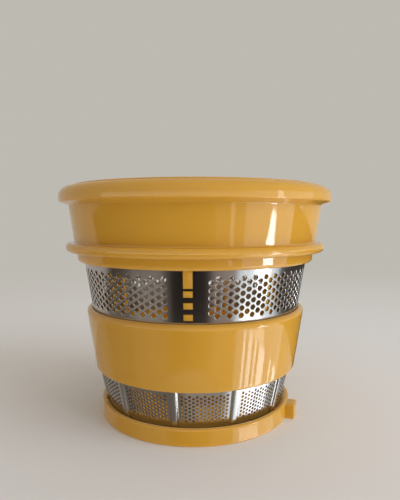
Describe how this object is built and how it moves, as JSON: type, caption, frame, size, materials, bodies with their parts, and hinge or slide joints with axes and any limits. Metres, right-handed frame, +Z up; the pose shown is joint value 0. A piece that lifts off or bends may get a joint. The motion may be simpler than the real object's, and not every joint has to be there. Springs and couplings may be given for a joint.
{
  "type": "juicer strainer",
  "caption": "Tapered strainer cup of a slow juicer: amber moulded rings hold a coarse and a fine perforated steel screen on an inner cage of ribs.",
  "frame": {"origin": "on the axis, at the underside of the base ring", "axes": "+Z up along the axis, towards the mouth; -Y towards the front key windows; +X to the right of them, where the key tab is"},
  "size_m": [0.13, 0.13, 0.1089],
  "materials": {
    "amber_plastic": "glossy amber moulding, slightly translucent",
    "screen_steel": "rolled stainless sheet, satin"
  },
  "bodies": {
    "root": {"upper_collar": "amber_plastic", "upper_screen": "screen_steel", "middle_band": "amber_plastic", "lower_screen": "screen_steel", "base_ring": "amber_plastic", "inner_cage": "amber_plastic"}
  },
  "joints": []
}
